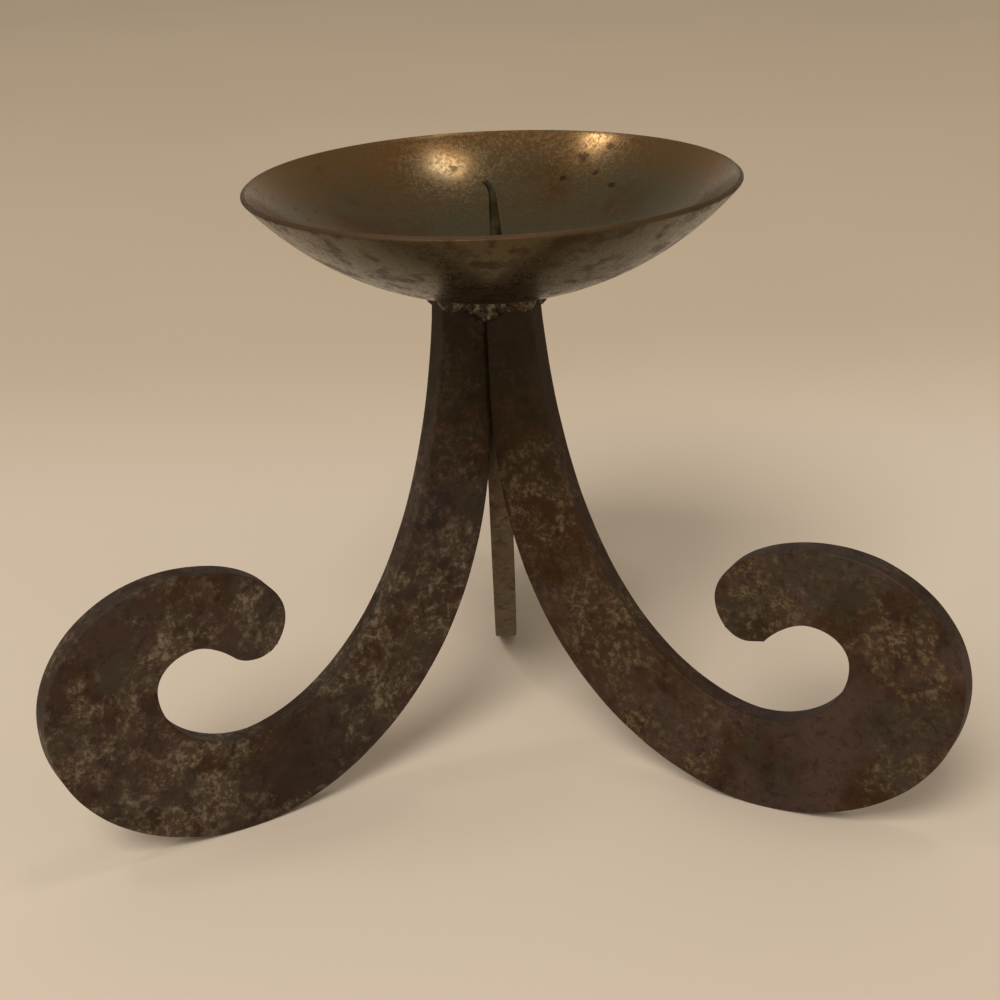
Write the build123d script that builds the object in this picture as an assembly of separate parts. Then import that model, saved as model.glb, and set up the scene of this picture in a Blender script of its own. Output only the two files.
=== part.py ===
from build123d import *
from math import cos, sin, tan, radians, sqrt
import os

# Candle holder: a shallow steel dish with a spike, welded on three scroll legs cut from plate.
# Origin on the floor in the middle of the legs, +Z up, the rear leg towards +Y. Millimetres.

# Dish: part of a ball, cut square across its wall at the rim
rim_diameter = 127.0
dish_depth = 29.2
dish_wall = 1.6
rim_rounding = 0.35
dish_shift = 2.2            # the dish sits this much to the right of the legs' middle

# Legs: three alike, flat plate, turned a third of a circle from each other
leg_places = ["rear", "left", "right"]
first_leg_angle = 90.0
plate_thickness = 6.35
leg_height = 131.0          # floor to the lowest point of the dish
leg_reach = 130.8           # middle line to the outside of the scroll
leg_lap = 1.0               # each plate stands this much to one side of the middle line
plate_gap = 0.1             # left between the inner ends of neighbouring plates

# Outside of the leg, from the neck down to the foot and round the scroll
neck_width = 13.0
neck_lean = 4.9             # degrees from upright at the top of the neck's outer side
straight_length = 23.0      # the inner side runs straight down this far before it bends
foot_back = 52.0            # foot's middle, in from the outside of the scroll
side_height = 43.1          # height of the scroll's outermost point
crown_height = 75.5
crown_back = 35.9
scroll_width = 65.7         # outside of the scroll to the end of its curled tip
tip_drop = 17.3             # the tip's end, below the crown
chin_drop = 10.7            # the tip's underside, below its end
chin_in = 9.8
corner_in = 3.8             # short flat of the underside, up to the corner of the eye
corner_rise = 0.6

# Inside of the scroll, as widths of the plate left between it and the outside
crown_band = 20.8
crown_band_back = 40.6      # the eye's top, in from the outside of the scroll
side_band = 29.6
eye_side_rise = 2.3         # the eye's widest point lies this far above the outer one
foot_band = 25.9
foot_band_back = 53.6

# How strongly each long bend keeps its first and last direction, as lengths along it
inner_bend_start = 81.6
inner_bend_end = 26.4
outer_bend_start = 6.1
outer_bend_end = 97.7
round_pull = 0.5523         # makes a quarter of an ellipse
corner_turn = 52.0          # degrees, direction in which the eye leaves its corner
corner_pull = 3.8

# Spike: tapered rod with a bent tip
spike_length = 24.6         # along the axis up to the bend
spike_root_radius = 2.4
spike_neck_radius = 0.95
spike_tip_radius = 0.6
spike_lean = 1.1            # the root stands this much to the right of the bend
tip_bend_up = 3.1
tip_bend_side = 2.2
knee_up = 0.62              # the bend's middle, as shares of its height and of its side way
knee_side = 0.36

# Weld beads
weld_places = ["left", "front", "right"]     # in the corner after each leg, in the legs' order
bead_radius = 3.3
bead_overrun = 0.5          # beyond the neck's outer side
lump_radius = 3.5           # where two beads meet in the corner between two plates
lump_drop = 4.2             # the lump runs this far down the seam between the plates
spike_bead_height = 1.2     # above the dish's inside, round the spike's root
spike_bead_foot = 2.4       # beyond the root, at the bead's foot
spike_bead_top = 0.3

# Sizes that follow from the ones above
rim_radius = rim_diameter / 2
ball_radius = (rim_radius ** 2 + dish_depth ** 2) / (2 * dish_depth)
ball_height = leg_height + ball_radius
leg_step = 360.0 / len(leg_places)
half_plate = plate_thickness / 2
inner_end = (half_plate - leg_lap) / tan(radians(leg_step / 2)) + plate_gap
neck_outer = inner_end + neck_width


def dish_ball(radius):
    """A ball about the centre that the dish's walls are struck from."""
    return Pos(dish_shift, 0, ball_height) * Sphere(radius)


def underside(x, y):
    """Height of the dish's outside over the point x, y."""
    across = sqrt((x - dish_shift) ** 2 + y ** 2)
    return ball_height - sqrt(ball_radius ** 2 - across ** 2)


def dish():
    """Shell between two balls, kept inside a cone from their centre to the rim."""
    rim_fall = ball_height - (leg_height + dish_depth)
    cone_length = 2 * ball_radius
    cone_radius = cone_length * rim_radius / rim_fall
    cone = Pos(dish_shift, 0, ball_height - cone_length / 2) * Cone(cone_radius, 0, cone_length)
    shell = (dish_ball(ball_radius) - dish_ball(ball_radius - dish_wall)) & cone
    rim_edges = shell.edges().filter_by(GeomType.CIRCLE).group_by(SortBy.LENGTH)[-2:]
    rim_edges = [edge for group in rim_edges for edge in group]
    return fillet(rim_edges, rim_rounding)


def bend(start, start_way, start_pull, end, end_way, end_pull):
    """Smooth curve that leaves start along start_way and arrives at end along end_way."""
    first = (start[0] + start_way[0] * start_pull, start[1] + start_way[1] * start_pull)
    last = (end[0] - end_way[0] * end_pull, end[1] - end_way[1] * end_pull)
    return Bezier(start, first, last, end)


def quarter(start, start_way, end, end_way):
    """Quarter of an ellipse between two points whose directions are square to each other."""
    along = abs((end[0] - start[0]) * start_way[0] + (end[1] - start[1]) * start_way[1])
    across = abs((end[0] - start[0]) * end_way[0] + (end[1] - start[1]) * end_way[1])
    return bend(start, start_way, round_pull * along, end, end_way, round_pull * across)


def leg_outline():
    """Closed outline of a leg, distance from the middle line against height."""
    down, outward, up, inward = (0, -1), (1, 0), (0, 1), (-1, 0)
    top = leg_height + neck_width / 2           # above the dish's underside, cut back to it later
    lean = radians(neck_lean)
    neck_way = (-sin(lean), cos(lean))
    turn = radians(corner_turn)
    corner_way = (cos(turn), sin(turn))
    flat_length = sqrt(corner_in ** 2 + corner_rise ** 2)
    flat_way = (corner_in / flat_length, corner_rise / flat_length)

    inner_top = (inner_end, top)
    inner_bend = (inner_end, leg_height - straight_length)
    foot = (leg_reach - foot_back, 0)
    side = (leg_reach, side_height)
    crown = (leg_reach - crown_back, crown_height)
    tip = (leg_reach - scroll_width, crown_height - tip_drop)
    chin = (tip[0] + chin_in, tip[1] - chin_drop)
    corner = (chin[0] + corner_in, chin[1] + corner_rise)
    eye_top = (leg_reach - crown_band_back, crown_height - crown_band)
    eye_side = (leg_reach - side_band, side_height + eye_side_rise)
    arm = (leg_reach - foot_band_back, foot_band)
    neck = (neck_outer, leg_height)
    neck_top = (neck_outer - (top - leg_height) * sin(lean) / cos(lean), top)

    edges = [
        Line(inner_top, inner_bend),
        bend(inner_bend, down, inner_bend_start, foot, outward, inner_bend_end),
        quarter(foot, outward, side, up),
        quarter(side, up, crown, inward),
        quarter(crown, inward, tip, down),
        bend(tip, down, round_pull * chin_drop, chin, flat_way, round_pull * chin_in),
        Line(chin, corner),
        bend(corner, corner_way, corner_pull, eye_top, outward, corner_pull),
        quarter(eye_top, outward, eye_side, down),
        quarter(eye_side, down, arm, inward),
        bend(arm, inward, outer_bend_start, neck, neck_way, outer_bend_end),
        Line(neck, neck_top),
        Line(neck_top, inner_top),
    ]
    return Plane.XZ * make_face(Wire(edges))


def leg(angle):
    """Plate cut to the outline, its top cut to sit against the dish."""
    plate = extrude(leg_outline(), amount=half_plate, both=True)
    plate = Rot(0, 0, angle) * Pos(0, -leg_lap, 0) * plate
    return plate - dish_ball(ball_radius)


def rod(start, end, radius):
    """Round bar with ball ends between two points."""
    way = Vector(*end) - Vector(*start)
    bar = Solid.make_cylinder(radius, way.length, Plane(origin=start, z_dir=way))
    return bar + Pos(*start) * Sphere(radius) + Pos(*end) * Sphere(radius)


def along_plate(angle, distance, sideways):
    """Point on the dish's underside, given in the frame of the leg that stands at angle."""
    turn = radians(angle)
    x = distance * cos(turn) - sideways * sin(turn)
    y = distance * sin(turn) + sideways * cos(turn)
    return (x, y, underside(x, y))


def weld(angle, legs):
    """Bead in the corner between the leg at angle and the next, along both plates and the dish."""
    bead_end = neck_outer + bead_overrun - bead_radius
    near_face = half_plate - leg_lap
    far_face = -half_plate - leg_lap
    next_angle = angle + leg_step
    meeting = along_plate(next_angle, inner_end, far_face)
    near_bead = rod(meeting, along_plate(angle, bead_end, near_face), bead_radius)
    far_bead = rod(meeting, along_plate(next_angle, bead_end, far_face), bead_radius)
    lump_foot = (meeting[0], meeting[1], meeting[2] - lump_drop)
    bead = near_bead + far_bead + rod(meeting, lump_foot, lump_radius)
    bead = bead - dish_ball(ball_radius)
    for each in legs:
        bead = bead - each
    return bead.solids().sort_by(SortBy.VOLUME)[-1]


def spike_line():
    """Root, bend and direction of the spike's straight shank."""
    floor = leg_height + dish_wall
    root = Vector(dish_shift + spike_lean, 0, floor - dish_wall / 2)
    neck = Vector(dish_shift, 0, floor + spike_length)
    return root, neck, (neck - root).normalized()


def spike_shank():
    """Straight tapered length of the spike, its foot still sunk in the dish's wall."""
    root, neck, way = spike_line()
    plane = Plane(origin=root, z_dir=way)
    return Solid.make_cone(spike_root_radius, spike_neck_radius, (neck - root).length, plane)


def spike():
    """Tapered shank from the dish's inside, with a tip bent to the left."""
    root, neck, way = spike_line()
    knee = neck + Vector(-tip_bend_side * knee_side, 0, tip_bend_up * knee_up)
    tip = neck + Vector(-tip_bend_side, 0, tip_bend_up)
    knee_radius = (spike_neck_radius + spike_tip_radius) / 2
    sections = [
        Plane(origin=neck, z_dir=way) * Circle(spike_neck_radius),
        Plane(origin=knee, z_dir=(tip - neck).normalized()) * Circle(knee_radius),
        Plane(origin=tip, z_dir=(tip - knee).normalized()) * Circle(spike_tip_radius),
    ]
    return (spike_shank() + loft(sections)) & dish_ball(ball_radius - dish_wall)


def spike_weld():
    """Small bead round the spike's root, a cone about the same line as the shank."""
    root, neck, way = spike_line()
    height = dish_wall / 2 + spike_bead_height
    wide = spike_root_radius + spike_bead_foot
    narrow = spike_root_radius + spike_bead_top
    collar = Solid.make_cone(wide, narrow, height, Plane(origin=root, z_dir=way))
    return (collar - spike_shank()) & dish_ball(ball_radius - dish_wall)


def build():
    """Every piece under its node name."""
    pieces = {"bowl": dish(), "spike": spike(), "weld_spike": spike_weld()}
    angles = [first_leg_angle + leg_step * number for number in range(len(leg_places))]
    legs = [leg(angle) for angle in angles]
    for place, plate in zip(leg_places, legs):
        pieces["leg_" + place] = plate
    for place, angle in zip(weld_places, angles):
        pieces["weld_" + place] = weld(angle, legs)
    return pieces


os.makedirs("parts", exist_ok=True)
for node, shape in build().items():
    export_step(shape, "parts/" + node + ".step")
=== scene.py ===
import bpy
import bmesh
import numpy as np
from mathutils import Matrix, Vector


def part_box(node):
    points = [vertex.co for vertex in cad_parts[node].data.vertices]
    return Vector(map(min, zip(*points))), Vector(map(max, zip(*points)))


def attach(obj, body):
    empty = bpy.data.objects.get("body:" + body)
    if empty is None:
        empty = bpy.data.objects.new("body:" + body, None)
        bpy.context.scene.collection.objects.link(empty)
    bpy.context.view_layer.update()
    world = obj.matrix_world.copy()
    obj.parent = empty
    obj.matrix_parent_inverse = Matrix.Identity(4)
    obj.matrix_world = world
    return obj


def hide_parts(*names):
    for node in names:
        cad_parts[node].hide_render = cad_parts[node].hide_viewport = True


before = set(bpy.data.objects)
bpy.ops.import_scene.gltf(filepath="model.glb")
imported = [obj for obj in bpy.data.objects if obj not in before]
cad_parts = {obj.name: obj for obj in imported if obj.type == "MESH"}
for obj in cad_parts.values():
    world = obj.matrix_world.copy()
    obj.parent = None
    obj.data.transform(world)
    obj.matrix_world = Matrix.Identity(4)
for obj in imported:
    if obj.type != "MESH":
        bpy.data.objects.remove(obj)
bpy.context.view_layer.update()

# Dish: a round of 1.6 mm steel sheet, pressed to part of a ball and cut square across its edge.
# Bare steel with a brown and olive patina under wax, so it mirrors softly and shows mill scale.

dish_low, dish_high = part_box("bowl")
dish_rim_radius = 0.0635
dish_depth = 0.0292
dish_wall = 0.0016
dish_rim_rounding = 0.00035
dish_middle = (dish_low[0] + dish_high[0]) / 2
dish_foot = dish_low[2]
dish_ball = (dish_rim_radius ** 2 + dish_depth ** 2) / (2 * dish_depth)
dish_ball_height = dish_foot + dish_ball
dish_steps_round = 320
dish_steps_out = 72
dish_rounding_steps = 7
dish_wave = 0.00006             # how far the pressed sheet wanders, into the wall only
dish_wave_length = 0.024
dish_wave_from = 0.25           # sine of the turn from the middle: still up to here,
dish_wave_full = 0.55           # and wandering in full from here on
dish_nick_turn = 196.0          # degrees round the rim, from +X
dish_nick_width = 1.2           # degrees
dish_nick_height = 0.0006
dish_nick_depth = 0.00025
dish_rim_band = 0.0005          # the rim's colour fades out over this much of the wall
# Scale spots inside, as (to the right of the middle, behind it, radius)
dish_spots = [(0.0262, 0.0500, 0.0010), (0.0335, 0.0490, 0.0007), (0.0200, 0.0465, 0.0006),
              (0.0330, 0.0375, 0.0007), (0.0290, 0.0440, 0.0006)]


def waves(points, size, seed):
    """Smooth relief between about -1 and 1: the mean of nine sines of random directions over
    points, sin(k . p + phase) with wave lengths between size and twice size, times 1.6."""
    count, gain = 9, 1.6
    chance = np.random.default_rng(seed)
    ways = chance.normal(size=(count, 3))
    ways /= np.linalg.norm(ways, axis=1, keepdims=True)
    turns = 2 * np.pi / (size * chance.uniform(1.0, 2.0, size=count))
    phases = chance.uniform(0, 2 * np.pi, size=count)
    return np.sin(points @ (ways * turns[:, None]).T + phases).mean(axis=-1) * gain


def skin(name, points, wrap_rows=False, wrap_columns=False, marks=None):
    """Smooth mesh object over a grid of points (rows, columns, 3), closed round where it wraps.
    marks holds named values for every point, which the materials read."""
    rows, columns = points.shape[:2]
    index = np.arange(rows * columns).reshape(rows, columns)
    if wrap_rows:
        index = np.vstack([index, index[:1]])
    if wrap_columns:
        index = np.hstack([index, index[:, :1]])
    corners = [index[:-1, :-1], index[1:, :-1], index[1:, 1:], index[:-1, 1:]]
    quads = np.stack(corners, axis=-1).reshape(-1, 4)
    mesh = bpy.data.meshes.new(name)
    mesh.from_pydata(points.reshape(-1, 3).tolist(), [], quads.tolist())
    for key, values in (marks or {}).items():
        layer = mesh.attributes.new(key, "FLOAT", "POINT")
        layer.data.foreach_set("value", values.astype(np.float32).ravel())
    shape = bmesh.new()
    shape.from_mesh(mesh)
    bmesh.ops.remove_doubles(shape, verts=shape.verts, dist=1e-7)
    bmesh.ops.recalc_face_normals(shape, faces=shape.faces)
    shape.to_mesh(mesh)
    shape.free()
    mesh.polygons.foreach_set("use_smooth", np.ones(len(mesh.polygons), dtype=bool))
    made = bpy.data.objects.new(name, mesh)
    bpy.context.scene.collection.objects.link(made)
    return made


def settle(piece, finish, slot, *nodes):
    """Gives the piece its material, hangs it on the root body and hides the CAD nodes that it
    stands for. slot is not used.
    """
    piece.data.materials.append(finish)
    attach(piece, "root")
    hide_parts(*nodes)


def dish_profile():
    """Turn from straight down and distance from the ball's centre, round the dish's section:
    out along the outside, over the rim with a small round at each edge, back along the inside."""
    edge = np.arcsin(dish_rim_radius / dish_ball)
    swing = np.linspace(0, np.pi / 2, dish_rounding_steps)
    inside = dish_ball - dish_wall
    turn_out = edge - dish_rim_rounding / dish_ball
    turn_in = edge - dish_rim_rounding / inside
    out = np.linspace(0, turn_out, dish_steps_out)[:-1]
    back = np.linspace(turn_in, 0, dish_steps_out)[1:]
    turns = [out, turn_out + dish_rim_rounding * np.sin(swing) / dish_ball,
             turn_in + dish_rim_rounding * np.cos(swing) / inside, back]
    lengths = [out * 0 + dish_ball, dish_ball - dish_rim_rounding * (1 - np.cos(swing)),
               inside + dish_rim_rounding * (1 - np.sin(swing)), back * 0 + inside]
    return np.concatenate(turns), np.concatenate(lengths)


def build_dish():
    """Dish as a surface round the upright line through the ball's centre: each point lies at
    centre + way * (length + side * relief + nick), where side is -1 outside and 1 inside."""
    turns, lengths = dish_profile()
    round_by = np.linspace(0, 2 * np.pi, dish_steps_round, endpoint=False)[:, None]
    sine = np.sin(turns)
    ways = np.stack([np.cos(round_by) * sine, np.sin(round_by) * sine,
                     -np.cos(turns) + 0 * round_by], axis=-1)
    centre = np.array([dish_middle, 0, dish_ball_height])
    relief = (1 - waves(ways * dish_ball, dish_wave_length, 3)) / 2 * dish_wave
    near_rim = np.clip((sine - dish_wave_from) / (dish_wave_full - dish_wave_from), 0, 1)
    side = np.where(lengths > dish_ball - dish_wall / 2, -1, 1)
    nick_turn = (np.degrees(round_by) - dish_nick_turn) / dish_nick_width
    from_edge = (turns.max() - turns) * dish_ball
    on_inner_edge = np.exp(-(from_edge / dish_nick_height) ** 2) * (side > 0)
    nick = dish_nick_depth * np.exp(-nick_turn ** 2) * on_inner_edge
    reach = lengths + side * (relief * near_rim) + nick
    outer = np.clip((lengths - dish_ball + dish_wall) / dish_wall, 0, 1) + 0 * round_by
    rim = np.clip(1 - from_edge / dish_rim_band, 0, 1) + 0 * round_by
    return skin("dish", centre + ways * reach[..., None], wrap_rows=True,
                marks={"outer": outer, "rim": rim})


def srgb(red, green, blue):
    """Linear colour of a screen colour given in 8-bit shares."""
    share = np.array([red, green, blue]) / 255
    linear = np.where(share <= 0.04045, share / 12.92, ((share + 0.055) / 1.055) ** 2.4)
    return (*linear.tolist(), 1.0)


def start_finish(name):
    """New material with its node tree and its shader."""
    finish = bpy.data.materials.new(name)
    finish.use_nodes = True
    return finish, finish.node_tree, finish.node_tree.nodes["Principled BSDF"]


def add(tree, kind, sockets, **settings):
    """One node: settings are its own choices, sockets the values or links that go into it."""
    made = tree.nodes.new(kind)
    for key, value in settings.items():
        setattr(made, key, value)
    feed(tree, made, sockets)
    return made.outputs


def feed(tree, made, sockets):
    """Puts values or links into a node's sockets."""
    for key, value in sockets.items():
        if isinstance(value, bpy.types.NodeSocket):
            tree.links.new(value, made.inputs[key])
        else:
            made.inputs[key].default_value = value


def here(tree):
    """Place of the shaded point, in metres from the frame's origin."""
    return add(tree, "ShaderNodeTexCoord", {})["Object"]


def axis_of(tree, vector, axis):
    """One axis of a place or direction."""
    return add(tree, "ShaderNodeSeparateXYZ", {0: vector})[axis]


def mark(tree, name):
    """Named value that the mesh holds for every point."""
    return add(tree, "ShaderNodeAttribute", {}, attribute_name=name)["Fac"]


def noise(tree, size, seed, detail=4.0, gain=0.55, stretch=(1, 1, 1)):
    """Noise with features about size metres across. Each seed moves it to another place."""
    moved = add(tree, "ShaderNodeMapping", {
        "Vector": here(tree), "Location": (seed * 0.37, seed * 0.73, seed * 0.19),
        "Scale": stretch})
    return add(tree, "ShaderNodeTexNoise", {
        "Vector": moved["Vector"], "Scale": 1 / size, "Detail": detail, "Roughness": gain})["Fac"]


def ramp(tree, value, start, end, low=0.0, high=1.0):
    """Smooth step of a value, from low at start to high at end."""
    return add(tree, "ShaderNodeMapRange", {
        "Value": value, "From Min": start, "From Max": end, "To Min": low, "To Max": high},
        interpolation_type="SMOOTHSTEP")["Result"]


def maths(tree, kind, first, second):
    """Sum, product or other sum of two values or links."""
    return add(tree, "ShaderNodeMath", {0: first, 1: second}, operation=kind)["Value"]


def over(tree, base, colour, mask):
    """A colour laid over another where the mask is 1."""
    return add(tree, "ShaderNodeMixRGB", {"Fac": mask, "Color1": base, "Color2": colour})["Color"]


def stain(tree, base, shade, mask, share):
    """A screen colour laid over another by a share, where the mask is 1."""
    return over(tree, base, srgb(*shade), maths(tree, "MULTIPLY", mask, share))


def spot(tree, place, radius, softness, seed):
    """Mask of one spot about a point: 1 within the radius, fading over softness radii beyond it,
    with an edge that noise makes ragged."""
    away = add(tree, "ShaderNodeVectorMath", {0: here(tree), 1: place},
               operation="DISTANCE")["Value"]
    ragged = ramp(tree, noise(tree, radius * 0.8, seed), 0.3, 0.7, -radius * 0.5, radius * 0.5)
    return ramp(tree, maths(tree, "ADD", away, ragged), radius, radius * (1 + softness), 1.0, 0.0)


def bump(tree, height, distance, strength):
    """Normals of a relief of that height, where distance is its depth in metres."""
    return add(tree, "ShaderNodeBump", {
        "Height": height, "Distance": distance, "Strength": strength})["Normal"]


def dish_place(across, back):
    """Point on the dish's inside over a place given from its middle."""
    fall = ((dish_ball - dish_wall) ** 2 - across ** 2 - back ** 2) ** 0.5
    return (dish_middle + across, back, dish_ball_height - fall)


def dish_finish():
    """Brown and olive patina on steel: large tinted clouds, faint mottling that breaks up the
    gloss, a lighter brown upper wall that is partly rust tone and partly painted reflection of
    the light overhead, soft rust blotches outside, a brown rim and a few dark scale spots."""
    finish, tree, shader = start_finish("dish_patina")
    clouds = ramp(tree, noise(tree, 0.034, 1, detail=3), 0.38, 0.62)
    colour = over(tree, srgb(126, 98, 63), srgb(112, 102, 77), clouds)
    height = axis_of(tree, here(tree), "Z")
    low = ramp(tree, height, dish_foot + 0.008, dish_foot + 0.024, 0.75, 0.0)
    colour = over(tree, colour, srgb(98, 94, 74), low)
    rust = ramp(tree, noise(tree, 0.020, 5, detail=5), 0.50, 0.72)
    colour = stain(tree, colour, (104, 70, 38), rust, 0.8)
    mottle = ramp(tree, noise(tree, 0.0011, 7, detail=8, gain=0.74), 0.40, 0.62)
    colour = stain(tree, colour, (132, 114, 86), mottle, 0.12)
    # Lighter brown towards the rim: partly the patina's rust-brown upper band, partly painted
    # reflection of the light overhead.
    high = ramp(tree, height, dish_foot + 0.018, dish_foot + dish_depth, 0.0, 0.6)
    colour = over(tree, colour, srgb(150, 110, 66), high)
    scale = ramp(tree, noise(tree, 0.0040, 9, detail=5, gain=0.6), 0.58, 0.70)
    colour = stain(tree, colour, (74, 54, 34), scale, 0.22)
    outer = mark(tree, "outer")
    colour = stain(tree, colour, (76, 67, 40), outer, 0.90)
    blotch = ramp(tree, noise(tree, 0.0065, 13, detail=5, gain=0.6), 0.48, 0.64)
    blotch = maths(tree, "MULTIPLY", blotch, outer)
    colour = stain(tree, colour, (62, 39, 18), blotch, 0.85)
    for number, (across, back, radius) in enumerate(dish_spots):
        mask = spot(tree, dish_place(across, back), radius, 1.0, 20 + number)
        colour = stain(tree, colour, (60, 46, 30), mask, 0.8)
    rim = mark(tree, "rim")
    colour = stain(tree, colour, (72, 49, 23), rim, 0.85)
    gloss = ramp(tree, mottle, 0.0, 1.0, 0.15, 0.28)
    for mask, share in ((scale, 0.14), (outer, 0.06), (blotch, 0.16), (rim, 0.25)):
        gloss = maths(tree, "ADD", gloss, maths(tree, "MULTIPLY", mask, share))
    relief = bump(tree, noise(tree, 0.0016, 11, detail=5, gain=0.6), 0.00003, 0.3)
    metal = maths(tree, "SUBTRACT", 0.90, maths(tree, "MULTIPLY", rim, 0.45))
    feed(tree, shader, {"Base Color": colour, "Metallic": metal, "Roughness": gloss,
                        "Normal": relief})
    return finish


settle(build_dish(), dish_finish(), "dish_steel", "bowl")

# Spike: a short steel rod, drawn out to a taper and blunt at its tip, which is bent to the left.
# It stands in the middle of the dish, welded at its root, and holds the candle.

spike_lean = 0.0011             # the root stands this much to the right of the bend
spike_length = 0.0246           # from the dish's inside up to the bend
spike_root = np.array([dish_middle + spike_lean, 0, dish_foot + dish_wall / 2])
spike_neck = np.array([dish_middle, 0, dish_foot + dish_wall + spike_length])
spike_knee = spike_neck + np.array([-0.0008, 0, 0.0019])
spike_tip = spike_neck + np.array([-0.0022, 0, 0.0031])
spike_radii = [0.0024, 0.00095, 0.00078, 0.00058]     # at root, neck, knee and tip
spike_blunt = spike_radii[-1] / 1.6     # length over which the tip rounds off
spike_dent = 0.035              # depth of the hammer marks, as a share of the radius
spike_dent_size = 0.0035
spike_steps = 120
spike_sides = 40
spike_soft_steps = 5            # the bend is a running mean over this many steps


def tube(path, radii, sides):
    """Rings of points about a path that stays in one upright plane: at each step the ring is
    centre + radius * (cos a * side + sin a * across), where side is square to the path."""
    way = np.gradient(path, axis=0)
    way /= np.linalg.norm(way, axis=1, keepdims=True)
    across = np.array([0.0, 1.0, 0.0])
    side = np.cross(across, way)
    angle = np.linspace(0, 2 * np.pi, sides, endpoint=False)[None, :, None]
    ring = np.cos(angle) * side[:, None] + np.sin(angle) * across
    return path[:, None] + ring * radii[:, :, None]


def build_spike():
    """Tapered rod along its bent line, closed at both ends, with faint hammer marks."""
    knots = np.array([spike_root, spike_neck, spike_knee, spike_tip])
    lengths = np.concatenate([[0], np.cumsum(np.linalg.norm(np.diff(knots, axis=0), axis=1))])
    along = np.linspace(0, lengths[-1], spike_steps)
    path = np.stack([np.interp(along, lengths, knots[:, axis]) for axis in range(3)], axis=1)
    soft = np.ones(spike_soft_steps) / spike_soft_steps
    kept = spike_soft_steps // 2
    inner = [np.convolve(path[:, axis], soft, mode="valid") for axis in range(3)]
    path[kept:-kept] = np.stack(inner, axis=1)
    radii = np.interp(along, lengths, spike_radii)
    to_tip = np.clip((lengths[-1] - along) / spike_blunt, 0, 1)
    blunt = np.sqrt(1 - (1 - to_tip) ** 2) * 0.999 + 0.001
    rings = tube(path, np.repeat((radii * blunt)[:, None], spike_sides, axis=1), spike_sides)
    dents = 1 - spike_dent * (1 + waves(rings, spike_dent_size, 12))
    rings = path[:, None] + (rings - path[:, None]) * dents[..., None]
    ends = [np.repeat(path[at][None, None], spike_sides, axis=1) for at in (0, -1)]
    return skin("spike_rod", np.concatenate([ends[0], rings, ends[1]]), wrap_columns=True)


def spike_finish():
    """Dark olive steel with patches of painted greenish-grey sheen, and thin pale streaks that
    are partly wear and partly painted glints.
    """
    finish, tree, shader = start_finish("spike_steel_bare")
    # Greenish-grey patches: painted sheen on the dark olive steel.
    clouds = ramp(tree, noise(tree, 0.006, 31, detail=4), 0.40, 0.62)
    colour = over(tree, srgb(66, 58, 38), srgb(92, 88, 66), clouds)
    # Thin pale streaks along the rod: partly worn metal, partly painted glints.
    worn_and_glint_streaks = ramp(tree, noise(tree, 0.0012, 33, detail=4, stretch=(1, 1, 0.15)), 0.58, 0.68)
    colour = stain(tree, colour, (140, 130, 104), worn_and_glint_streaks, 0.5)
    relief = bump(tree, noise(tree, 0.0009, 35, detail=5), 0.00008, 0.6)
    feed(tree, shader, {"Base Color": colour, "Metallic": 0.75, "Roughness": 0.42,
                        "Normal": relief})
    return finish


settle(build_spike(), spike_finish(), "spike_steel", "spike")

# Weld round the spike's root: a small collar of weld metal between the rod and the dish.
# It was run in one pass, so it is uneven and rippled.

collar_wide = 0.0047
collar_narrow = 0.0026
collar_height = 0.0012
collar_inside = 0.0016          # radius of its back, within the rod
collar_sink = 0.0002            # its foot lies this far in the dish's wall
collar_foot = -0.0006           # height of its back's lower end
collar_lump = 0.00018           # height of its ripples, which start this far above its foot:
collar_lump_from = 0.0003
collar_lump_size = 0.0022
collar_steps_round = 120
collar_steps_up = 16


def build_collar():
    """Ring about the spike's root. Its section goes from the foot in the dish's wall up a hollow
    curve to the rod and down again inside the rod."""
    share = np.linspace(0, 1, collar_steps_up)
    radius = np.concatenate([collar_wide - (collar_wide - collar_narrow) * share ** 0.7,
                             [collar_inside, collar_inside]])
    height = np.concatenate([collar_height * share ** 1.5, [collar_height, collar_foot]])
    angle = np.linspace(0, 2 * np.pi, collar_steps_round, endpoint=False)[:, None]
    x = spike_root[0] + radius * np.cos(angle)
    y = radius * np.sin(angle)
    inside = dish_ball - dish_wall
    floor = dish_ball_height - np.sqrt(inside ** 2 - (x - dish_middle) ** 2 - y ** 2)
    z = floor + height - collar_sink
    points = np.stack([x, y, z], axis=-1)
    lumps = waves(points, collar_lump_size, 14) * collar_lump
    points[..., 2] += lumps * np.clip(height / collar_lump_from, 0, 1)
    return skin("spike_collar", points, wrap_rows=True, wrap_columns=True)


def weld_finish():
    """Rough weld metal: pale grey-green lumps, brown heat tint and dark scale in the hollows."""
    finish, tree, shader = start_finish("weld_metal")
    lumps = ramp(tree, noise(tree, 0.0030, 41, detail=5, gain=0.6), 0.47, 0.62)
    colour = over(tree, srgb(40, 31, 19), srgb(98, 93, 70), lumps)
    heat = ramp(tree, noise(tree, 0.0060, 43, detail=3), 0.52, 0.64)
    colour = stain(tree, colour, (64, 42, 26), heat, 0.8)
    specks = ramp(tree, noise(tree, 0.0010, 45, detail=5, gain=0.6), 0.54, 0.62)
    colour = stain(tree, colour, (160, 150, 124), specks, 0.28)
    soot = ramp(tree, noise(tree, 0.0018, 47, detail=4), 0.58, 0.68)
    colour = stain(tree, colour, (34, 26, 18), soot, 0.8)
    relief = bump(tree, noise(tree, 0.0012, 49, detail=5, gain=0.6), 0.0002, 0.7)
    feed(tree, shader, {"Base Color": colour, "Metallic": 0.6, "Roughness": 0.42,
                        "Normal": relief})
    return finish


weld_metal = weld_finish()
settle(build_collar(), weld_metal, "weld_steel", "weld_spike")

# Legs: three alike, flame-cut from 6.35 mm plate. Each is a neck under the dish, a long sweep
# down to a round foot, and a scroll whose tip curls back over its eye. Rusted, brushed and waxed;
# the corner under the left one's tip is ground smooth.

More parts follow.
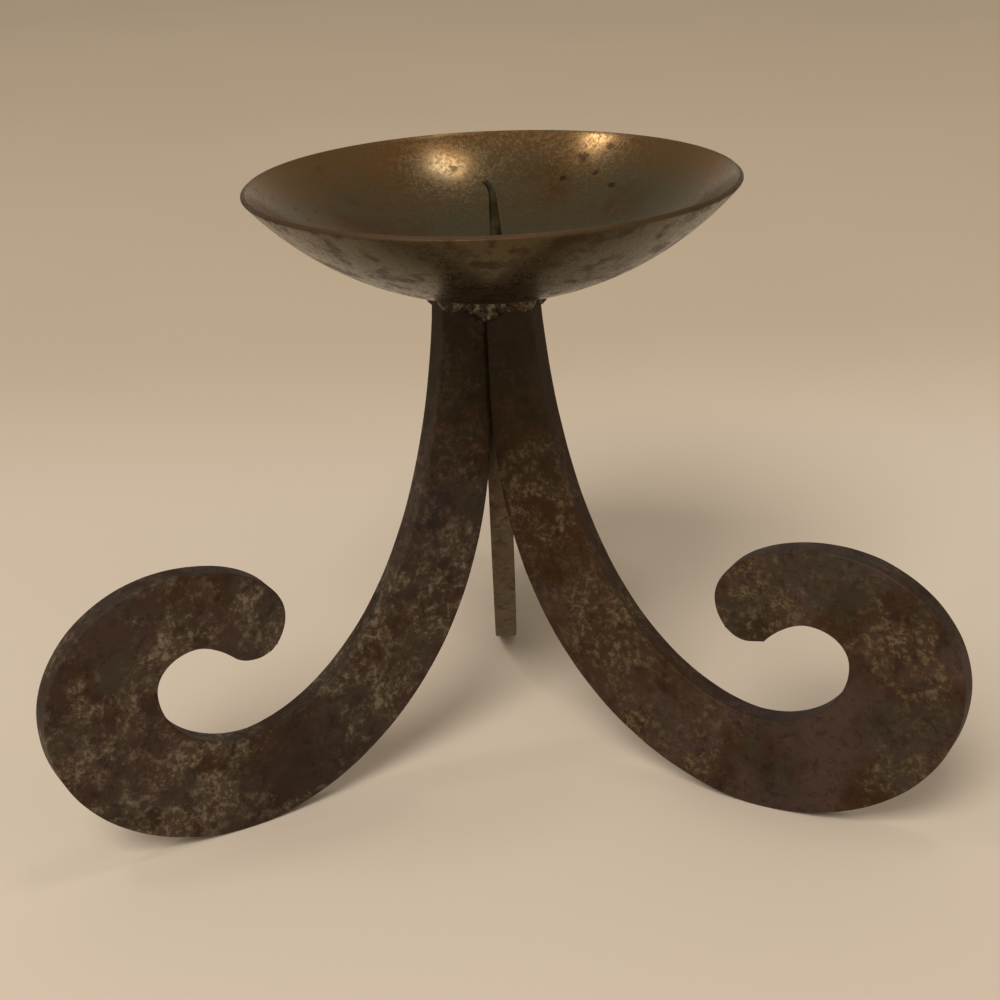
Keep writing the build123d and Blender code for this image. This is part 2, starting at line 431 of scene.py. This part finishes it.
leg_half = 0.006350 / 2
leg_lap = 0.0010                # each plate stands this much to one side of the middle line
leg_gap = 0.0001                # left between the inner ends of neighbouring plates
leg_reach = 0.1308              # middle line to the outside of the scroll
leg_neck_width = 0.0130
leg_neck_lean = np.radians(4.9)
leg_straight = 0.0230           # the inner side runs straight down this far
leg_foot_back = 0.0520          # foot's middle, in from the outside of the scroll
leg_side_height = 0.0431
leg_crown_height = 0.0755
leg_crown_back = 0.0359
leg_scroll_width = 0.0657
leg_tip_drop = 0.0173           # the tip's end, below the crown
leg_chin_drop = 0.0107          # the tip's underside, below its end
leg_chin_in = 0.0098
leg_corner_in = 0.0038          # short flat of the underside, up to the corner of the eye
leg_corner_rise = 0.0006
leg_crown_band = 0.0208         # plate left between the scroll's outside and its eye
leg_crown_band_back = 0.0406
leg_side_band = 0.0296
leg_eye_side_rise = 0.0023
leg_foot_band = 0.0259
leg_foot_band_back = 0.0536
leg_inner_pulls = (0.0816, 0.0264)      # lengths along which the long bends keep their way
leg_outer_pulls = (0.0061, 0.0977)
leg_round_pull = 0.5523         # makes a quarter of an ellipse
leg_corner_turn = np.radians(52.0)
leg_corner_pull = 0.0038
leg_inner_end = (leg_half - leg_lap) / np.tan(np.radians(60.0)) + leg_gap
leg_edge_round = 0.0004
leg_edge_share = 0.42           # of the width at most, where the two sides run together
leg_edge_wander = 0.00012       # how far the flame-cut edge wanders, inwards only
leg_edge_wander_size = 0.007
leg_chin_soft = 9               # steps over which the left tip's corner is smoothed
leg_chin_steps = 68             # steps back from the tip's end that this takes in
leg_top_stretch = 0.005         # this much of the neck is stretched up to meet the dish
leg_neck_within = 0.03          # only what lies this near the middle line is neck
leg_curve_steps = 400
leg_steps = (150, 70, 70, 60, 40)       # inner sweep, foot, side, crown, tip
leg_round_steps = 5
leg_edge_steps = 9
leg_face_steps = 30
leg_angles = {"rear": 90.0, "left": 210.0, "right": 330.0}


def curve(start, start_way, start_pull, end, end_way, end_pull):
    """Points of a cubic curve that leaves start along start_way and arrives along end_way."""
    share = np.linspace(0, 1, leg_curve_steps)[:, None]
    knots = np.array([start, start, end, end], dtype=float)
    knots[1] += np.array(start_way) * start_pull
    knots[2] -= np.array(end_way) * end_pull
    weights = [(1 - share) ** 3, 3 * (1 - share) ** 2 * share, 3 * (1 - share) * share ** 2,
               share ** 3]
    return sum(weight * knot for weight, knot in zip(weights, knots))


def round_curve(start, start_way, end, end_way):
    """Quarter of an ellipse between two points whose directions are square to each other."""
    step = np.array(end) - np.array(start)
    pulls = [leg_round_pull * abs(step @ np.array(way)) for way in (start_way, end_way)]
    return curve(start, start_way, pulls[0], end, end_way, pulls[1])


def even(points, steps):
    """The same line with evenly spaced points, the last one left to the next stretch."""
    lengths = np.concatenate([[0], np.cumsum(np.linalg.norm(np.diff(points, axis=0), axis=1))])
    along = np.linspace(0, lengths[-1], steps + 1)[:-1]
    return np.stack([np.interp(along, lengths, points[:, axis]) for axis in range(2)], axis=1)


def leg_sides():
    """The outline's two sides, from the top to the end of the tip, as partner points (distance
    from the middle line, height). One runs down the inner edge and round the outside of the
    scroll, the other down the neck's outer edge and round the eye."""
    down, outward, up, inward = (0, -1), (1, 0), (0, 1), (-1, 0)
    neck_way = (-np.sin(leg_neck_lean), np.cos(leg_neck_lean))
    corner_way = (np.cos(leg_corner_turn), np.sin(leg_corner_turn))
    flat = np.array([leg_corner_in, leg_corner_rise])
    flat_way = tuple(flat / np.linalg.norm(flat))
    inner_top = (leg_inner_end, dish_foot)
    inner_bend = (leg_inner_end, dish_foot - leg_straight)
    foot = (leg_reach - leg_foot_back, 0)
    side = (leg_reach, leg_side_height)
    crown = (leg_reach - leg_crown_back, leg_crown_height)
    tip = (leg_reach - leg_scroll_width, leg_crown_height - leg_tip_drop)
    chin = (tip[0] + leg_chin_in, tip[1] - leg_chin_drop)
    corner = (chin[0] + leg_corner_in, chin[1] + leg_corner_rise)
    eye_top = (leg_reach - leg_crown_band_back, leg_crown_height - leg_crown_band)
    eye_side = (leg_reach - leg_side_band, leg_side_height + leg_eye_side_rise)
    arm = (leg_reach - leg_foot_band_back, leg_foot_band)
    neck = (leg_inner_end + leg_neck_width, dish_foot)
    inner = curve(inner_bend, down, leg_inner_pulls[0], foot, outward, leg_inner_pulls[1])
    outer = curve(arm, inward, leg_outer_pulls[0], neck, neck_way, leg_outer_pulls[1])
    end = curve(tip, down, leg_round_pull * leg_chin_drop, chin, flat_way,
                leg_round_pull * leg_chin_in)
    half = len(end) // 2
    eye = curve(corner, corner_way, leg_corner_pull, eye_top, outward, leg_corner_pull)
    one = [np.concatenate([[inner_top], inner]), round_curve(foot, outward, side, up),
           round_curve(side, up, crown, inward), round_curve(crown, inward, tip, down),
           end[:half + 1]]
    other = [outer[::-1], round_curve(eye_side, down, arm, inward)[::-1],
             round_curve(eye_top, outward, eye_side, down)[::-1], eye[::-1],
             np.concatenate([[corner], end[half:][::-1]])]
    return [np.concatenate([even(line, steps) for line, steps in zip(lines, leg_steps)] +
                           [end[half:half + 1]]) for lines in (one, other)]


def soften_chin(side):
    """Rounds off the corner between the tip's underside and the eye, by a running mean along
    the side."""
    steps = leg_chin_soft
    reach = slice(-leg_chin_steps, -2)
    window = np.ones(2 * steps + 1) / (2 * steps + 1)
    for axis in range(2):
        side[reach, axis][steps:-steps] = np.convolve(side[reach, axis], window, mode="valid")


def inward_of(side, partner):
    """Unit vectors square to a side of the outline, towards the plate."""
    way = np.gradient(side, axis=0)
    square = np.stack([-way[:, 1], way[:, 0]], axis=1)
    square /= np.linalg.norm(square, axis=1, keepdims=True) + 1e-12
    neck = slice(0, 60)
    return square * np.sign(np.sum(square[neck] * (partner - side)[neck]))


def underside(x, y):
    """Height of the dish's outside over a place."""
    across = (x - dish_middle) ** 2 + y ** 2
    return dish_ball_height - np.sqrt(np.maximum(dish_ball ** 2 - across, 0))


def from_plate(angle, distance, side):
    """Place x, y of what lies at a distance from the middle line along the plate that stands at
    angle degrees, and to one side across its thickness."""
    turn = np.radians(angle)
    return (distance * np.cos(turn) - side * np.sin(turn),
            distance * np.sin(turn) + side * np.cos(turn))


def plate_lines(sides, insides, bevel):
    """Lines down the leg that make up its section, in order round it. Each is its places on the
    plate's face, its height over the plate's middle, and 1 on the cut edge to 0 on the face.
    Round an edge, inset = bevel (1 - cos a) and height = half - bevel (1 - sin a)."""
    swing = np.linspace(0, np.pi / 2, leg_round_steps)
    edge = np.linspace(-1, 1, leg_edge_steps)[1:-1]
    face = np.linspace(0, 1, leg_face_steps)[1:-1]

    def cut_edge(number, shares):
        """Cut edge of one side, between its two rounds."""
        return [(sides[number], share * (leg_half - bevel), 1.0) for share in shares]

    def edge_round(number, sign):
        """Rounded edge of one side, from its cut edge to the front (1) or the back (-1)."""
        return [(sides[number] + insides[number] * bevel * (1 - np.cos(turn)),
                 sign * (leg_half - bevel * (1 - np.sin(turn))), np.cos(turn))
                for turn in swing]

    def flat_face(start, end, sign):
        """Front (1) or back (-1) of the plate, from one side to the other."""
        first = sides[start] + insides[start] * bevel
        last = sides[end] + insides[end] * bevel
        return [(first + (last - first) * share, sign * leg_half + 0 * bevel, 0.0)
                for share in face]

    return (cut_edge(0, edge) + edge_round(0, 1) + flat_face(0, 1, 1) + edge_round(1, 1)[::-1] +
            cut_edge(1, edge[::-1]) + edge_round(1, -1) + flat_face(1, 0, -1) +
            edge_round(0, -1)[::-1])


def build_leg(place, angle, seed):
    """Plate with rounded, slightly wandering edges: at each step down the leg a section from one
    side of the outline to the other, turned to the leg's direction and set off by the lap. The
    neck's top is stretched, z = base + (z - base) * (underside - base) / stretch."""
    one, other = leg_sides()
    if place == "left":
        soften_chin(other)
    insides = [inward_of(one, other), inward_of(other, one)]
    width = np.linalg.norm(other - one, axis=1)
    bevel = np.minimum(leg_edge_round, leg_edge_share * width)[:, None]
    sides = []
    for line, inside in zip((one, other), insides):
        places = np.stack([line[:, 0], line[:, 1], 0 * line[:, 0]], axis=1)
        wander = leg_edge_wander * (1 + waves(places, leg_edge_wander_size, seed)) / 2
        sides.append(line + inside * wander[:, None])
    lines = plate_lines(sides, insides, bevel)
    flat = np.stack([places for places, height, cut in lines], axis=1)
    across = np.concatenate([height for places, height, cut in lines], axis=1) - leg_lap
    cuts = np.broadcast_to([cut for places, height, cut in lines], across.shape)
    x, y = from_plate(angle, flat[..., 0], across)
    z = flat[..., 1]
    base = dish_foot - leg_top_stretch
    raised = base + (z - base) * (underside(x, y) - base) / leg_top_stretch
    z = np.where((z > base) & (flat[..., 0] < leg_neck_within), raised, z)
    points = np.stack([x, y, z], axis=-1)
    top = np.repeat(points[:1].mean(axis=1, keepdims=True), points.shape[1], axis=1)
    return skin("leg_plate_" + place, np.concatenate([top, points]), wrap_columns=True,
                marks={"cut": np.concatenate([cuts[:1], cuts])})


# Screen colours of each leg's finish, then how much of the haze is left outside its clusters
# (calm), and where the photographed legs have spots, worn and smooth places: each at a distance
# from the middle line and a height, with its radius, and for spots a colour and a share.
# The neck tones are dark partly as painted shade cast by the dish above.
leg_tones = {
    "left": {"rust": (62, 41, 27), "mauve": (68, 51, 43), "olive": (66, 58, 46),
             "dark": (44, 33, 26), "haze": (88, 73, 57), "speck": (136, 121, 100),
             "neck": (35, 31, 9), "calm": 0.40,
             "spots": [(0.0085, 0.088, 0.0030, (58, 34, 16), 0.7),
                       (0.0210, 0.077, 0.0035, (52, 45, 44), 0.7),
                       (0.0600, 0.014, 0.0100, (50, 38, 32), 0.5)],
             "worn_at": [(0.0700, 0.062, 0.007), (0.1000, 0.056, 0.010), (0.1180, 0.040, 0.008),
                         (0.0960, 0.014, 0.011), (0.0400, 0.052, 0.008)],
             "smooth_at": [(0.0640, 0.018, 0.011), (0.1100, 0.062, 0.007)]},
    "right": {"rust": (60, 38, 19), "mauve": (77, 58, 52), "olive": (62, 54, 44),
              "dark": (42, 29, 19), "haze": (74, 57, 37), "speck": (120, 102, 76),
              "neck": (36, 30, 9), "calm": 0.25,
              "spots": [(0.0070, 0.088, 0.0035, (56, 31, 11), 0.8),
                        (0.0200, 0.066, 0.0050, (62, 38, 14), 0.6),
                        (0.0130, 0.076, 0.0100, (62, 38, 10), 0.5),
                        (0.0120, 0.086, 0.0110, (50, 29, 8), 0.6),
                        (0.0380, 0.044, 0.0140, (62, 42, 16), 0.5),
                        (0.0980, 0.068, 0.0060, (56, 56, 44), 0.5)],
              "worn_at": [(0.0150, 0.074, 0.007), (0.0380, 0.046, 0.010), (0.0760, 0.062, 0.008),
                          (0.1160, 0.052, 0.009)],
              "smooth_at": [(0.0880, 0.012, 0.015), (0.1020, 0.032, 0.009)]},
    # The rear leg's tones are painted paler than the front legs' to make up for the shade it
    # stands in; it is the same rusted plate.
    "rear": {"rust": (108, 86, 64), "mauve": (114, 98, 78), "olive": (112, 102, 80),
             "dark": (76, 62, 47), "haze": (118, 102, 80), "speck": (150, 136, 112),
             "neck": (60, 48, 34), "calm": 0.35, "spots": [], "worn_at": [], "smooth_at": []},
}
leg_seen_side = {"left": 1, "right": -1}


def leg_place(place, distance, height):
    """Point on the face of a front leg that the camera sees, given in the plate's own frame."""
    side = leg_seen_side[place] * leg_half - leg_lap
    return (*from_plate(leg_angles[place], distance, side), height)


def leg_finish(place):
    """Rusted plate: rust and mauve clouds, olive and dark patches, stained spots, then paler worn
    haze with curdled specks in clusters, dark pits, and an olive neck with orange patches that
    darkens towards the dish, partly painted shade from the dish above. The cut edges are a little
    darker and duller, partly painted shade that holds down the light they catch."""
    finish, tree, shader = start_finish("leg_rust_" + place)
    tones = leg_tones[place]
    large = ramp(tree, noise(tree, 0.020, 51, detail=4), 0.40, 0.60)
    colour = over(tree, srgb(*tones["rust"]), srgb(*tones["mauve"]), large)
    olive = ramp(tree, noise(tree, 0.017, 53, detail=5, gain=0.6), 0.48, 0.64)
    colour = stain(tree, colour, tones["olive"], olive, 0.8)
    dark = ramp(tree, noise(tree, 0.0090, 55, detail=6, gain=0.64), 0.50, 0.72)
    colour = stain(tree, colour, tones["dark"], dark, 0.8)
    for number, (distance, at, radius, shade, share) in enumerate(tones["spots"]):
        mask = spot(tree, leg_place(place, distance, at), radius, 1.4, 70 + number)
        colour = stain(tree, colour, shade, mask, share)
    cluster = ramp(tree, noise(tree, 0.0070, 59, detail=6, gain=0.68), 0.42, 0.58)
    group = ramp(tree, noise(tree, 0.026, 61, detail=3), 0.40, 0.60, tones["calm"], 1.0)
    for number, (distance, at, radius) in enumerate(tones["worn_at"]):
        mask = spot(tree, leg_place(place, distance, at), radius, 0.7, 110 + number)
        group = maths(tree, "MAXIMUM", group, mask)
    for number, (distance, at, radius) in enumerate(tones["smooth_at"]):
        mask = spot(tree, leg_place(place, distance, at), radius, 0.7, 130 + number)
        group = maths(tree, "MULTIPLY", group, ramp(tree, mask, 0.0, 1.0, 1.0, 0.15))
    haze = maths(tree, "MULTIPLY", cluster, group)
    colour = stain(tree, colour, tones["haze"], haze, 0.60)
    fine = ramp(tree, noise(tree, 0.0018, 57, detail=8, gain=0.74), 0.47, 0.59)
    specks = maths(tree, "MULTIPLY", fine, haze)
    colour = stain(tree, colour, tones["speck"], specks, 0.80)
    pits = ramp(tree, noise(tree, 0.0026, 63, detail=7, gain=0.7), 0.52, 0.64)
    colour = stain(tree, colour, (34, 23, 15), pits, 0.50)
    # The neck darkens towards the dish: its own olive tone, and painted shade cast by the dish
    # above.
    height = axis_of(tree, here(tree), "Z")
    neck = ramp(tree, height, 0.070, 0.108, 0.0, 0.72)
    orange = ramp(tree, noise(tree, 0.0062, 72, detail=6, gain=0.66), 0.48, 0.58)
    orange = maths(tree, "MULTIPLY", orange, ramp(tree, height, 0.090, 0.118, 0.75, 0.15))
    shaded_neck_tone = over(tree, srgb(*tones["neck"]), srgb(66, 38, 12), orange)
    moss = ramp(tree, noise(tree, 0.0034, 69, detail=7, gain=0.7), 0.48, 0.60)
    shaded_neck_tone = stain(tree, shaded_neck_tone, (25, 24, 8), moss, 0.55)
    colour = over(tree, colour, shaded_neck_tone, neck)
    # Cut edges a little darker: partly flame-cut oxide, partly painted shade that holds down the
    # light they catch.
    cut = mark(tree, "cut")
    colour = stain(tree, colour, (56, 42, 34), cut, 0.15)
    gloss = maths(tree, "ADD", ramp(tree, specks, 0.0, 1.0, 0.50, 0.66),
                  maths(tree, "MULTIPLY", cut, 0.15))
    bumps = maths(tree, "ADD", noise(tree, 0.0013, 65, detail=6, gain=0.65),
                  maths(tree, "MULTIPLY", specks, 0.5))
    feed(tree, shader, {"Base Color": colour, "Metallic": ramp(tree, cut, 0.0, 1.0, 0.45, 0.30),
                        "Roughness": gloss, "Specular IOR Level": 0.25,
                        "Normal": bump(tree, bumps, 0.00016, 0.6)})
    return finish


for leg_seed, (leg_name, leg_angle) in enumerate(leg_angles.items()):
    settle(build_leg(leg_name, leg_angle, 81 + 3 * leg_seed), leg_finish(leg_name), "leg_steel",
           "leg_" + leg_name)

# Welds under the dish: a bead in each corner between two plates, run along both necks against the
# dish, with a thick lump where the passes meet at the seam. Rough, rippled, heat-tinted metal.

bead_radius = 0.0033
bead_hang = 1.25                # the bead reaches this many times its radius down the plate
bead_blunt = 0.0042             # length over which the bead's ends round off
bead_end = leg_inner_end + leg_neck_width + 0.0020
lump_width = 0.0036
lump_depth = 0.0032             # the lump hangs this much lower than the bead
lump_swell = 0.12               # and is this share wider
bead_sink = 0.0003              # the bead runs this far into the dish's wall
bead_swells = ((0.10, 0.0048), (0.10, 0.0015))      # share of the bead's size, and length
bead_ripple = 0.012             # as a share of the radius
bead_ripple_length = 0.0017
bead_size = 0.94                # leaves room for the swells within the bead's box
bead_soft_steps = 9             # the corner is a running mean over this many steps
bead_steps = 150
bead_sides = 56
bead_corners = {"left": 90.0, "front": 210.0, "right": 330.0}       # after the leg at this angle


def bead_line(angle):
    """Line of the bead on the dish's underside: in along the face of the leg at angle, round the
    corner between the plates, and out along the face of the next leg."""
    next_angle = angle + 120.0
    near, far = leg_half - leg_lap, -leg_half - leg_lap
    corner = np.array(from_plate(next_angle, leg_inner_end, far))
    start = np.array(from_plate(angle, bead_end, near))
    end = np.array(from_plate(next_angle, bead_end, far))
    share = np.linspace(-1, 1, bead_steps)[:, None]
    line = corner + (np.where(share < 0, start, end) - corner) * np.abs(share)
    soft = np.ones(bead_soft_steps) / bead_soft_steps
    kept = bead_soft_steps // 2
    smooth = [np.convolve(line[:, axis], soft, mode="valid") for axis in range(2)]
    line[kept:-kept] = np.stack(smooth, axis=1)
    return line


def build_bead(place, angle, seed):
    """Lumpy tube along the bead's line: ring(a) = centre + r (cos a * side, sin a * up), where r
    swells and hangs down at the corner; what would rise through the dish is held just in it."""
    line = bead_line(angle)
    step = np.linalg.norm(np.gradient(line, axis=0), axis=1)
    along = np.cumsum(step)
    middle = along - along[bead_steps // 2]
    way = np.gradient(line, axis=0) / step[:, None]
    side = np.stack([-way[:, 1], way[:, 0]], axis=1)
    to_end = np.minimum(along - along[0], along[-1] - along)
    cap = np.sqrt(np.clip(1 - (1 - np.clip(to_end / bead_blunt, 0, 1)) ** 2, 1e-6, 1))
    ripple = 1 + bead_ripple * np.sin(2 * np.pi * middle / bead_ripple_length + seed)
    radius = (bead_radius * cap * ripple)[:, None]
    lump = np.exp(-(middle / lump_width) ** 2)[:, None]
    turn = np.linspace(0, 2 * np.pi, bead_sides, endpoint=False)[None]
    hang = np.clip(-np.sin(turn), 0, 1) * lump * lump_depth
    outward = np.cos(turn) * radius * (1 + lump_swell * lump)
    x = line[:, :1] + outward * side[:, :1]
    y = line[:, 1:] + outward * side[:, 1:]
    z = underside(x, y) + np.sin(turn) * radius * bead_hang - hang
    points = np.stack([x, y, z], axis=-1)
    centre = np.concatenate([line, underside(line[:, 0], line[:, 1])[:, None]], axis=1)[:, None]
    swell = sum(share * waves(points, length, seed + number)
                for number, (share, length) in enumerate(bead_swells))
    points = centre + (points - centre) * (bead_size + swell)[..., None]
    top = underside(points[..., 0], points[..., 1]) + bead_sink
    points[..., 2] = np.minimum(points[..., 2], top)
    ends = [np.repeat(points[at:at + 1].mean(axis=1, keepdims=True), bead_sides, axis=1)
            for at in (0, bead_steps - 1)]
    return skin("weld_bead_" + place, np.concatenate([ends[0], points, ends[1]]),
                wrap_columns=True)


for bead_seed, (bead_name, bead_angle) in enumerate(bead_corners.items()):
    settle(build_bead(bead_name, bead_angle, 91 + 5 * bead_seed), weld_metal, "weld_steel",
           "weld_" + bead_name)

# Floor and light: a smooth pale paper floor under a plain soft studio light, with painted shade
# that makes it brighter near the object and dimmer behind it. It is only there to be seen and to
# be mirrored in the steel.

floor_half = 6.0
# The floor's darkening towards the back is painted shade.
floor_shade_from = 0.17           # the floor's tone darkens from here back,
floor_shade_full = 0.42           # and is dark from here on


def build_floor():
    """Flat square under the holder, in warm pale paper with painted shade that darkens it towards
    the back.
    """
    sides = np.linspace(-floor_half, floor_half, 3)
    x, y = np.meshgrid(sides, sides, indexing="ij")
    made = skin("floor", np.stack([x, y, 0 * x], axis=-1))
    finish, tree, shader = start_finish("floor_paper")
    painted_falloff = ramp(tree, axis_of(tree, here(tree), "Y"), floor_shade_from, floor_shade_full)
    colour = over(tree, srgb(246, 230, 210), srgb(226, 207, 181), painted_falloff)
    fibre = ramp(tree, noise(tree, 0.30, 101, detail=2), 0.3, 0.7, 0.0, 0.12)
    colour = over(tree, colour, srgb(205, 182, 160), fibre)
    feed(tree, shader, {"Base Color": colour, "Roughness": 0.85})
    made.data.materials.append(finish)


def light_world():
    """Soft room light, dim overhead and paler towards the horizon. What the camera sees of it
    directly is a plain pale wall."""
    world = bpy.data.worlds.new("studio")
    world.use_nodes = True
    tree = world.node_tree
    height = axis_of(tree, add(tree, "ShaderNodeTexCoord", {})["Generated"], "Z")
    horizon, zenith = (0.46, 0.42, 0.36, 1.0), (0.27, 0.24, 0.20, 1.0)
    glow = over(tree, horizon, zenith, ramp(tree, height, 0.0, 0.70))
    seen = add(tree, "ShaderNodeLightPath", {})["Is Camera Ray"]
    colour = over(tree, glow, srgb(196, 176, 152), seen)
    feed(tree, tree.nodes["Background"], {"Color": colour, "Strength": 1.0})
    bpy.context.scene.world = world


lamp_aim = (0, 0, 0.09)


def lamp(name, way, distance, size, level, tint):
    """Square soft lamp that shines at the holder from a direction. level is the share of white
    paper's brightness that it gives to a sheet that faces it."""
    light = bpy.data.lights.new(name, "AREA")
    light.size = size
    light.color = tint
    light.energy = level * (np.pi * distance) ** 2
    aim = Vector(lamp_aim)
    way = Vector(way).normalized()
    made = bpy.data.objects.new(name, light)
    made.location = aim + way * distance
    made.rotation_euler = way.to_track_quat("Z", "Y").to_euler()
    bpy.context.scene.collection.objects.link(made)


build_floor()
light_world()
lamp("lamp_above", way=(0.20, -0.03, 0.98), distance=2.4, size=0.38, level=0.049,
     tint=(1.0, 0.97, 0.92))
lamp("lamp_left", way=(-0.50, 0.0, 0.87), distance=2.4, size=0.30, level=0.043,
     tint=(1.0, 0.95, 0.88))
lamp("lamp_front", way=(-0.22, -0.66, 0.72), distance=4.0, size=1.57, level=0.52,
     tint=(1.0, 0.96, 0.90))

# Camera: at the photograph's place, a little above the dish and looking down at the legs.
# Its place, turn and lens were fitted to the outlines of the dish and of the front legs.

camera_place = (0.0, -0.46936, 0.25966)
camera_yaw = np.radians(0.10)
camera_dip = np.radians(21.68)
camera_roll = np.radians(-2.49)
camera_lens = 67.25             # millimetres, on a sensor 36 mm wide
camera_sensor = 36.0


def build_camera():
    """Camera that looks along its yaw and dip and is rolled about that line."""
    ahead = Vector((np.sin(camera_yaw) * np.cos(camera_dip),
                    np.cos(camera_yaw) * np.cos(camera_dip), -np.sin(camera_dip)))
    level = Vector((np.cos(camera_yaw), -np.sin(camera_yaw), 0))
    above = level.cross(ahead)
    right = level * np.cos(camera_roll) + above * np.sin(camera_roll)
    up = above * np.cos(camera_roll) - level * np.sin(camera_roll)
    lens = bpy.data.cameras.new("camera")
    lens.sensor_fit = "HORIZONTAL"
    lens.sensor_width = camera_sensor
    lens.lens = camera_lens
    lens.clip_start = 0.01
    made = bpy.data.objects.new("camera", lens)
    turn = Matrix((right, up, -ahead)).transposed().to_4x4()
    made.matrix_world = Matrix.Translation(camera_place) @ turn
    bpy.context.scene.collection.objects.link(made)
    bpy.context.scene.camera = made


build_camera()
bpy.context.scene.view_settings.view_transform = "Standard"
